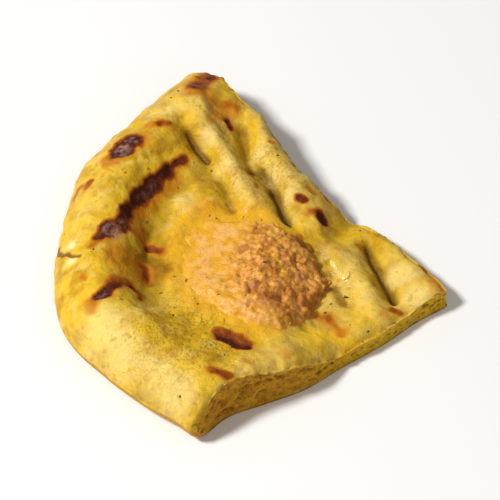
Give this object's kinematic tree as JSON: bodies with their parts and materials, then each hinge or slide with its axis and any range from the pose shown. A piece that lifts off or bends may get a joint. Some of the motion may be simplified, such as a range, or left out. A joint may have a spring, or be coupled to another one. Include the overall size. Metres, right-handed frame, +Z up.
{
  "type": "garlic pita wedge",
  "caption": "Quarter wedge of a thick grilled flatbread with a puffy crust, char marks, two cut sides and a heap of minced garlic on top.",
  "frame": {"origin": "on the surface it rests on, under the middle of the bounding box", "axes": "+Z up out of the grilled top, +X towards the pointed tip, +Y towards the far corner of the crust"},
  "size_m": [0.0897, 0.109, 0.0157],
  "materials": {
    "bread": "baked golden-yellow bread, lightly oiled, with brown and black grill marks",
    "garlic": "moist pinkish-tan minced garlic"
  },
  "bodies": {
    "root": {"pita_wedge": "bread", "garlic_paste": "garlic"}
  },
  "joints": []
}
